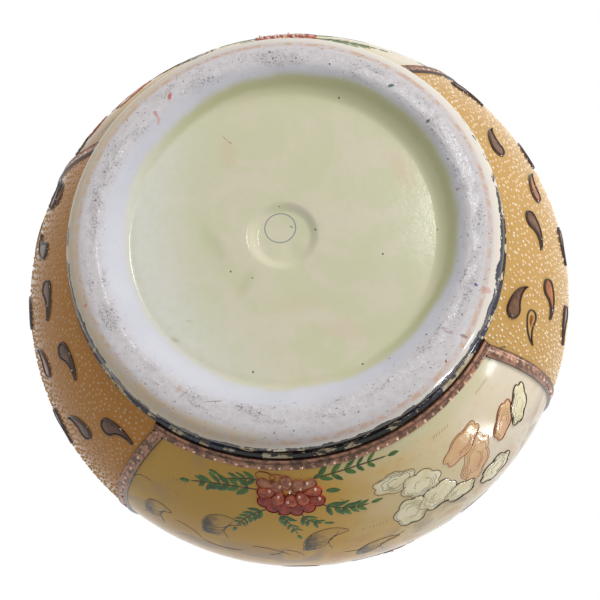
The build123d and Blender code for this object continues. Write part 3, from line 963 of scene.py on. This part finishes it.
def areaMiddle(loop):
    x, y = loop[:, 0], loop[:, 1]
    cross = x * np.roll(y, -1) - np.roll(x, -1) * y
    return np.array([((way + np.roll(way, -1)) * cross).sum() for way in (x, y)]) / (3 * cross.sum())


def fitted(loop, shape):
    # a smooth shape laid where a node's own facets show it, by its middle and its farthest point
    tries = []
    for flip in (1, -1):
        drawn = shape * (1, flip)
        ways = []
        for outline in (loop, drawn):
            middle = areaMiddle(outline)
            tip = outline[np.argmax(np.linalg.norm(outline - middle, axis=1))]
            ways.append((middle, math.atan2(*(tip - middle)[::-1])))
        laid = swept(drawn - ways[1][0], math.degrees(ways[0][1] - ways[1][1]), ways[0][0])
        tries.append((edgeDistance(loop, laid).mean(), laid))
    return min(tries, key=lambda one: one[0])[1]


def leafPiece(name, form, body, node, finish, slot, shape):
    shapes = [(t, s, fitted(loop, shape)) for t, s, loop in outlinesOf(node, form)]
    fill = mounds(form, shapes, thick * 0.6, 0.9, 0.42, 0.08)
    edge = threads(form, [(t, s, loop, commaLeaf["trail"], thick * 0.95, True) for t, s, loop in shapes])
    keepOff[body].extend(mounds(form, shapes, 0.1, 0.9, 0.8)[0])
    marks = [0] * len(fill[1]) + [1] * len(edge[1])
    newPiece(name, (*joined(fill, edge), marks), body, [finish, trailEnamel], [node], 60)


comma = commaShape()
brown, amber = (brownEnamel, "brown_enamel", comma), (amberEnamel, "amber_enamel", comma)
for hand in ("left", "right"):
    leafPiece(f"{hand}_brown_leaves", bowl, "bowl", f"{hand}_enamel_leaves", *brown)
    leafPiece(f"{hand}_amber_leaves_laid", bowl, "bowl", f"{hand}_amber_leaves", *amber)
for half in (0, 180):
    way, height, lean = commaLeaf["open"]
    at = math.radians(way + half), float(slopeAt(bowl, height))
    outline = swept(comma * 0.86, lean)
    core = swept(comma * 0.36, lean + 8, swept([(-1.6, 0)], lean)[0])
    keepOff["bowl"].extend(mounds(bowl, [(*at, outline)], 0.1, 0.9, 0.8)[0])
    trail = threads(bowl, [(*at, outline, 0.5, thick * 0.6, True)])
    pool = mounds(bowl, [(*at, core)], 0.4, 0.6, 0.4)
    newPiece(f"open_leaf_{half}", trail, "bowl", [trailEnamel], sharp=60)
    newPiece(f"open_leaf_core_{half}", pool, "bowl", [amberEnamel], sharp=60)
leafPiece("lid_brown_leaves", lid, "lid", "lid_enamel_leaves", *brown)
leafPiece("lid_red_petals", lid, "lid", "lid_petals", redEnamel, "red_enamel", petalShape())
print("leaves laid")


# Panels: blossoms in thick enamel, green sprays, and clouds and rocks washed in and outlined.
# Places are millimetres round (towards -X) and up from a middle given as (angle round, height).
def rosette(y, reach, count, long, wide):
    # petals set evenly round a place straight up from the middle
    return [(reach * math.cos(a), y + reach * math.sin(a), math.degrees(a), long, wide)
            for a in np.arange(count) * 2 * math.pi / count]


# sprays: root, tip, bend, pairs of leaves, leaf length; singles: place, lean, length; petals: x, y,
# lean, length, width; rocks: middle, width, height, way it leans; clouds, each laid over the one
# before: wash, middle, width, height, lobes, lean; grass: place, length, blades; scribbles: start,
# end, bend
lowMotif = {
    "middle": (-13, 22),
    "sprays": [((-8.2, -2.4), (-30, 0.4), 1.3, 6, 5.6), ((-8, -6), (-17.6, -4.9), 0.6, 3, 4.6),
               ((-6.6, 5), (-17.2, 15.8), 1.4, 5, 4.6), ((-4.4, 6.4), (1.2, 17.6), -0.8, 4, 4.6),
               ((8.4, 3.4), (23.5, 8.2), 1.4, 5, 5.4), ((3, 7.2), (9, 12.6), 1.2, 3, 4.8),
               ((5, -5.9), (29.5, -7), -1, 5, 5.2)],
    "singles": [((-20.2, -5.6), -170, 3.8), ((10.5, -1.4), 12, 5), ((7, -6.4), -20, 3.8)],
    "redPetals": [(-7, 1.6, 150, 5.2, 3.3), (-4.8, 3.4, 120, 5.6, 3.4), (-1.7, 4.2, 98, 5.8, 3.3),
                  (1.6, 4.5, 84, 5.8, 3.3), (4.8, 3.6, 62, 5.8, 3.4), (7.7, 1.8, 25, 5.2, 3.3)],
    "rosePetals": [(-6.6, -1.8, 175, 5.4, 3.3), (-3.2, 0.2, 110, 5.6, 3.3), (0.3, 1.2, 90, 5.2, 3.3),
                   (3.6, 0.4, 70, 5.6, 3.3), (6.9, -1.8, 0, 5.2, 3.1)],
    "peachPetals": [(-6.8, -5, 200, 5, 2.8), (-3.6, -3.6, 230, 5, 2.9), (-0.6, -5.4, 268, 5, 3.1),
                    (2.6, -4.2, 300, 5, 2.9), (5.8, -4.4, 330, 5, 2.7)],
    "openPetals": [(-6.4, -7.6, 188, 5.6, 2.5), (-2.9, -7.2, 178, 4.6, 2.2)],
    "beads": [(-2.5, -4.6), (0.5, -5.6), (3.4, -3.6), (7.6, -3), (-3.2, -0.8), (2.8, -0.7), (-0.6, 1.2),
              (8.6, 0.8), (0.2, -2.6), (-5.6, -3), (5.4, -5.4)],
    "rocks": [((-22, 18), 14, 14, 1), ((9.5, 22.5), 15, 14, 1), ((-44, 24), 11, 13, 1),
              ((25, 36), 15, 11, 1)],
    "clouds": [("cream", (31.5, 4), 15, 8.5, 6, 10), ("peach", (60, 17), 12, 20, 7, 8),
               ("cream", (40, 10), 15, 11, 6, 30), ("peach", (55, 6), 15, 10, 6, -18),
               ("cream", (36.5, 21), 12, 16, 6, -12), ("cream", (45.5, 20), 14, 13, 6, 35),
               ("cream", (53.5, 26), 13, 9, 5, 30), ("peach", (72.5, 13), 9, 13, 5, 12),
               ("cream", (68, 31), 14, 12, 6, 30), ("cream", (80.5, 15), 9, 15, 6, 0)],
    "grass": [((20.5, 20.8), 8.5, 8), ((45, -3.5), 6, 6), ((-39, 8.5), 5, 5), ((62.5, -4.5), 6, 7),
              ((-36, 3), 5, 4)],
    "scribbles": [((-14, 27), (-2, 33), -2), ((-9, 33), (-4, 27.5), 1.4), ((-4, 28), (2, 35), -2),
                  ((14, 34), (34, 31), 2.4), ((-52, 14), (-44, 9), -2), ((-38, 24), (-30, 31), -2.2),
                  ((-30, 31), (-17, 32), 1.6), ((75, -6), (84, 2), 1.6), ((70, -8), (80, -4), -1.2)],
}
highMotif = {
    "middle": (6, 84),
    "sprays": [((-4, 0), (-21, 3), 1.5, 5, 4.8), ((3, 3), (15, 8), -1.2, 4, 4.6),
               ((3.5, -3), (20, -5), 1.2, 5, 4.8), ((-3, 3.5), (-9, 9.5), 0.8, 3, 4.2)],
    "singles": [((9.5, -0.5), 20, 4), ((-8, -5.5), 200, 4)],
    "peachPetals": rosette(0, 4, 7, 4.6, 3),
    "openPetals": rosette(0, 1.9, 5, 3, 2),
    "beads": [(0, 0), (1.5, 0.6), (-1.2, 0.9), (0.2, -1.4)],
    "rocks": [((-30, -12), 13, 11, 1), ((31, -11), 13, 11, -1)],
    "clouds": [("cream", (-42, 4), 17, 8, 7, 8), ("peach", (-52, -1), 13, 8, 6, -10),
               ("cream", (40, 5), 18, 9, 7, -8), ("peach", (50, 0), 12, 8, 6, 12)],
    "grass": [((-22, -11), 6, 7), ((16, -11), 6, 7), ((-52, -13), 6, 6)],
    "scribbles": [((-14, -12), (8, -12.5), 1.6), ((40, -12), (54, -11), 1.5)],
}
lidMotif = {
    "middle": (0, 112),
    "sprays": [((-4, 6), (-20, 11), 1.4, 5, 4.8), ((4, 6), (20, 10), -1.4, 5, 4.8),
               ((-3, 3), (-13, -3), -1, 4, 4.6), ((3.5, 3), (14, -3), 1, 4, 4.6),
               ((0, 9), (2, 19), 0.8, 4, 4.4)],
    "singles": [((10, 4), 10, 4), ((-10.5, 5), 175, 4)],
    "redPetals": rosette(5, 4.4, 7, 5, 3.3),
    "rosePetals": rosette(5, 1.9, 5, 3.6, 2.4),
    "beads": [(0, 5), (1.5, 5.6), (-1.2, 5.9), (0.2, 3.6)],
    "clouds": [("cream", (-34, 2), 17, 8, 7, 8), ("peach", (-24, -3), 11, 6, 6, 0),
               ("cream", (34, 3), 17, 8, 7, -8), ("peach", (25, -3), 11, 6, 6, 0),
               ("cream", (-14, 26), 12, 6, 6, 10), ("peach", (15, 25), 12, 6, 6, -10)],
    "rocks": [((-45, -1), 9, 9, 1), ((46, -1), 9, 9, -1)],
    "grass": [((-8, -6.5), 6, 6), ((8, 17), 5, 5)],
}


def leafShape(length, width, count=9):
    t = np.linspace(0, 1, count)
    half = width / 2 * np.sin(math.pi * t ** 0.85) ** 0.85
    return np.vstack([np.stack([t * length, half], -1), np.stack([t[-2:0:-1] * length, -half[-2:0:-1]], -1)])


def roundShape(length, width, count=22):
    a = np.arange(count) * 2 * math.pi / count
    return np.stack([length / 2 * np.cos(a), width / 2 * np.sin(a) * (1 + 0.3 * np.cos(a))], -1)


def curve(start, end, bend, count=14):
    start, end = np.array(start, float), np.array(end, float)
    t = np.linspace(0, 1, count)[:, None]
    across = np.array([-(end - start)[1], (end - start)[0]]) / np.linalg.norm(end - start)
    return start + (end - start) * t + across * bend * 4 * t * (1 - t)


def sprayLeaves(start, end, bend, pairs, length):
    stem = curve(start, end, bend, 40)
    leaves = []
    for k in range(pairs):
        at = int((0.16 + 0.76 * k / pairs) * 39)
        way = math.degrees(math.atan2(*(stem[at + 1] - stem[at])[::-1]))
        long = length * (1 - 0.3 * k / pairs) * chance.uniform(0.88, 1.1)
        for side in (1, -1):
            leaf = leafShape(long, long * chance.uniform(0.32, 0.42))
            leaves.append(swept(leaf, way + side * chance.uniform(28, 52), stem[at]))
    way = math.degrees(math.atan2(*(stem[-1] - stem[-2])[::-1]))
    leaves.append(swept(leafShape(length * 0.8, length * 0.32), way, stem[-1]))
    return stem, leaves


def cloudShape(middle, width, height, lobes, lean, share=1.0, start=0.0, reach=360.0):
    # a traditional scalloped cloud, or a fold that follows part of its edge further in
    count = int(lobes * 10 * reach / 360) + 4
    a = np.radians(np.linspace(start, start + reach, count, endpoint=reach < 360))
    puff = (0.82 + 0.18 * np.abs(np.sin(a * lobes / 2 + 0.6))) * share
    return swept(np.stack([width / 2 * np.cos(a) * puff, height / 2 * np.sin(a) * puff], -1), lean, middle)


def rockShape(middle, width, height, way):
    # a garden rock: a hooked top over a broad foot
    outline = [(-0.5, 0.5), (-0.46, -0.05), (-0.25, -0.38), (0.1, -0.5), (0.36, -0.4), (0.5, -0.24),
               (0.3, -0.2), (0.08, -0.06), (0.02, 0.16), (0.1, 0.5)]
    line = np.array(outline) * (way * width, height) + np.array(middle)
    fine = np.linspace(0, len(line) - 1, 60)
    smooth = np.stack([np.interp(fine, np.arange(len(line)), line[:, k]) for k in range(2)], -1)
    for _ in range(6):
        smooth[1:-1] = (smooth[:-2] + 2 * smooth[1:-1] + smooth[2:]) / 4
    return smooth


def dressPanel(name, form, body, start, motif, stands=()):
    round0, height0 = motif["middle"]
    turn, slope = math.radians(start + round0), float(slopeAt(form, height0))

    def laid(shapes, height, edge, grain, crown=0.0):
        return mounds(form, [(turn, slope, shape) for shape in shapes], height, edge, grain, crown)

    def drawn(paths, width, height, closed=False):
        return threads(form, [(turn, slope, path, width, height, closed) for path in paths])

    def piece(end, mesh, finish, slot="painted_porcelain", stands=(), shade=None):
        if mesh[1]:
            newPiece(f"{name}_{end}", mesh, body, [finish], stands, 60, shade)

    def petals(key):
        return [swept(roundShape(long * 1.05, wide * 1.22), way, (x, y))
                for x, y, way, long, wide in motif.get(key, ())]

    def veins(key):
        return [swept(curve((-long * 0.22, wide * off), (long * 0.26, wide * off), wide * off), way, (x, y))
                for x, y, way, long, wide in motif.get(key, ()) for off in (-0.16, 0.16)]

    sprays = [sprayLeaves(*spray) for spray in motif["sprays"]]
    leaves = [leaf for _, some in sprays for leaf in some]
    leaves += [swept(leafShape(long, long * 0.42), way, spot) for spot, way, long in motif["singles"]]
    piece("green_leaves", laid(leaves, 0.14, 0.35, 0.42), greenEnamel)
    piece("stems", drawn([stem for stem, _ in sprays], 0.45, 0.17), stemPaint)
    red, rose, peach = petals("redPetals"), petals("rosePetals"), petals("peachPetals")
    flower = joined(laid(red, 0.5, 0.8, 0.36, 0.06), drawn(red, 0.24, 0.5, True))
    piece("blossom_red", flower, redEnamel, "red_enamel", stands)
    flower = joined(laid(rose, 0.62, 0.8, 0.36, 0.06), drawn(rose, 0.24, 0.62, True))
    piece("blossom_rose", flower, roseEnamel, "red_enamel")
    flower = joined(laid(peach, 0.45, 0.8, 0.36, 0.05), drawn(peach, 0.28, 0.56, True),
                    drawn(petals("openPetals"), 0.3, 0.5, True))
    piece("blossom_peach", flower, peachEnamel, "red_enamel")
    flower = joined(drawn(veins("redPetals"), 0.2, 0.66), drawn(veins("rosePetals"), 0.2, 0.8))
    piece("petal_veins", flower, redLine, "red_enamel")
    spots = [(t, s, 0.5, 1.4) for t, s in zip(*localToForm(form, turn, slope, motif["beads"]))]
    piece("blossom_beads", domes(form, spots, 12), beadEnamelAndGlint, "red_enamel")
    washes, inked = {"cream": [], "peach": []}, {"cream": [], "peach": []}
    for k, (wash, *cloud) in enumerate(motif["clouds"]):
        under = 0.03 + 0.035 * k
        washes[wash].append(laid([cloudShape(*cloud)], under, 0.25, 0.8))
        inked[wash].append(drawn([cloudShape(*cloud)], 0.17, under + 0.05, True))
        folds = [cloudShape(*cloud, 0.87 - 0.13 * n, chance.uniform(0, 360), chance.uniform(110, 250))
                 for n in range(5)]
        inked[wash].append(drawn(folds, 0.15, under + 0.07))
    marks = [rockShape(*rock) for rock in motif["rocks"]]
    marks += [curve(*line) for line in motif.get("scribbles", ())]
    for (x, y), width, height, way in motif["rocks"]:
        for k in range(3):
            start = x - way * width * 0.4, y + height * (0.1 + 0.14 * k)
            end = x + way * width * (0.28 - 0.1 * k), y - height * (0.36 - 0.13 * k)
            marks.append(curve(start, end, way * height * 0.16))
    for (x, y), long, count in motif["grass"]:
        for k in range(count):
            root = x + long * k / count
            marks.append(np.array([(root, y), (root + 0.2, y - 0.5), (root + 0.5, y - 0.9)]))
    piece("cream_clouds", joined(*washes["cream"]), creamWash)
    piece("peach_clouds", joined(*washes["peach"]), peachWash)
    piece("ink_lines", joined(drawn(marks, 0.24, 0.11), *inked["cream"]), inkPaint)
    piece("red_lines", joined(*inked["peach"]), redLine)
    # the grey wash of a rock is strongest at its back edge
    grey, shade = [], []
    for spot, width, height, way in motif["rocks"]:
        some = laid([rockShape(spot, width, height, way)], 0.05, 0.3, 0.7)
        around, _, heights = roundOf(some[0])
        local = formToLocal(form, turn, slope, around, slopeAt(form, heights))
        grey.append(some)
        shade.extend(np.clip((local[:, 0] - spot[0]) * way / width + 0.5, 0, 1))
    piece("rocks", joined(*grey), rockWash, shade=shade)


for end, start in (("front", 0), ("back", 180)):
    dressPanel(end, bowl, "bowl", start, lowMotif, [f"{end}_blossom"])
    dressPanel(f"{end}_upper", bowl, "bowl", start, highMotif)
    dressPanel(f"lid_{end}", lid, "lid", start, lidMotif)
print("panels painted")


# Dots: white slip dripped in rows over the ochre of the side fields
dots = {"spacing": 2.15, "radius": 0.47, "height": 0.34, "stray": 0.42, "clear": 1.25}


def dotField(name, form, body, side, low, high, edge):
    tree = KDTree(max(1, len(keepOff[body])))
    for i, p in enumerate(keepOff[body]):
        tree.insert(Vector(p), i)
    tree.balance()
    places = []
    slope = slopeAt(form, low)
    row = 0
    while slope < slopeAt(form, high):
        height = form["middle"] + form["rise"] * math.sin(slope)
        across = form["radius"] * math.cos(slope)
        start = edge(height) + (relief["strapWidth"] / 2 + 0.9) / across
        turn = start + (row % 2) * dots["spacing"] / across / 2
        while turn < math.pi - start:
            spot = side * (turn + chance.gauss(0, dots["stray"]) / across)
            up = slope + chance.gauss(0, dots["stray"]) / 85
            if tree.find(Vector(onForm(form, spot, up)))[2] > dots["clear"]:
                places.append((spot, up, dots["radius"] * chance.uniform(0.8, 1.2),
                               dots["height"] * chance.uniform(0.8, 1.2)))
            turn += dots["spacing"] / across
        slope += dots["spacing"] * 0.88 / speedAt(form, slope)
        row += 1
    newPiece(name, domes(form, places), body, [dotEnamel], sharp=80)
    return len(places)


count = 0
dotLow, dotHigh = footWear["blackHigh"] + 0.9, relief["strapHigh"] - 0.9
for hand, side in (("left", 1), ("right", -1)):
    count += dotField(f"{hand}_slip_dots", bowl, "bowl", side, dotLow, dotHigh, panelEdge)
dotLow = relief["lidHigh"] + 1
for hand, side in (("left", 1), ("right", -1)):
    count += dotField(f"lid_{hand}_slip_dots", lid, "lid", side, dotLow, lidStrapHigh, lambda z: lidEdge)
print(count, "dots dripped")


# Studio: a pale floor that only the camera sees, a window on the left and soft lamps
world = bpy.data.worlds.new("studio")
bpy.context.scene.world = world
world.use_nodes = True
world.node_tree.nodes.clear()
tree = world.node_tree
rays = addNode(tree, "LightPath", {}).outputs
inputs = {0: rays["Is Glossy Ray"], 1: rays["Is Transmission Ray"]}
glossy = addNode(tree, "Math", inputs, operation="MAXIMUM").outputs[0]
seen = addNode(tree, "Math", {0: rays["Is Camera Ray"], 1: glossy}, operation="MAXIMUM").outputs[0]
strength = addNode(tree, "MapRange", {"Value": seen, "To Min": 0.35, "To Max": 1.0}).outputs[0]
background = addNode(tree, "Background", {"Color": "#ffffff", "Strength": strength}).outputs[0]
addNode(tree, "OutputWorld", {"Surface": background})

half = 1.5  # of the floor's side, in metres
mesh = bpy.data.meshes.new("floor")
mesh.from_pydata([(-half, -half, 0), (half, -half, 0), (half, half, 0), (-half, half, 0)], [], [(0, 1, 2, 3)])
floor = bpy.data.objects.new("floor", mesh)
bpy.context.collection.objects.link(floor)
finish, tree = newFinish("studio_paper")
toCamera = addNode(tree, "LightPath", {}).outputs["Is Camera Ray"]
back = addNode(tree, "NewGeometry", {}).outputs["Backfacing"]
above = addNode(tree, "Math", {0: 1.0, 1: back}, operation="SUBTRACT").outputs[0]
seen = addNode(tree, "Math", {0: toCamera, 1: above}, operation="MULTIPLY").outputs[0]
where = addNode(tree, "TexCoord", {}).outputs["Object"]
grain = addNode(tree, "TexNoise", {"Vector": where, "Scale": 400.0}).outputs[0]
paper = addNode(tree, "BsdfDiffuse", {"Color": laidOver(tree, "#f2f2f1", "#f6f6f5", most=grain)}).outputs[0]
clear = addNode(tree, "BsdfTransparent", {}).outputs[0]
mixed = addNode(tree, "MixShader", {0: seen, 1: clear, 2: paper}).outputs[0]
addNode(tree, "OutputMaterial", {"Surface": mixed})
floor.data.materials.append(finish)


def lamp(name, direction, distance, width, height, power, roll=0, aim=(0, 0, 0.05)):
    # metres; the lamp stands in a direction from the place that it's aimed at
    light = bpy.data.lights.new(name, "AREA")
    light.shape = "RECTANGLE"
    light.size, light.size_y, light.energy = width, height, power
    thing = bpy.data.objects.new(name, light)
    way = Vector(direction).normalized()
    thing.location = Vector(aim) + way * distance
    tilt = way.to_track_quat("Z", "Y").to_matrix() @ Matrix.Rotation(math.radians(roll), 3, "Z")
    thing.rotation_euler = tilt.to_euler()
    bpy.context.collection.objects.link(thing)
    return thing


panelSpot = (-0.047, -0.056, 0.022)  # where the window shines back from the belly
lamp("window", (-0.64, -0.65, 0.38), 1.3, 0.07, 0.45, 3.8, 22, panelSpot)
lamp("pane", (-0.854, -0.515, 0.067), 1.3, 0.11, 0.1, 2.0, aim=panelSpot)
lamp("softbox_below", (-0.75, 0.3, -0.6), 1.2, 0.5, 0.5, 9).visible_glossy = False
lamp("glint", (-0.19, 0.34, -0.92), 1.2, 0.09, 0.09, 0.8)
lamp("softbox_above", (0.2, -0.1, 1.0), 1.4, 1.3, 1.3, 10).visible_glossy = False

view = {
    "lens": 86.13,
    "place": (0, -0.15633, -0.389822),
    "right": (-0.969287, -0.232756, 0.079422),
    "up": (-0.245933, 0.916891, -0.314370),
    "back": (0.00035, -0.324247, -0.945973),
}
lens = bpy.data.cameras.new("camera")
lens.lens, lens.sensor_width, lens.clip_start, lens.clip_end = view["lens"], 36, 0.01, 10
camera = bpy.data.objects.new("camera", lens)
facing = Matrix([view[way] for way in ("right", "up", "back")]).transposed().to_4x4()
camera.matrix_world = Matrix.Translation(view["place"]) @ facing
bpy.context.collection.objects.link(camera)
bpy.context.scene.camera = camera
bpy.context.scene.view_settings.view_transform = "Standard"
print("studio set")
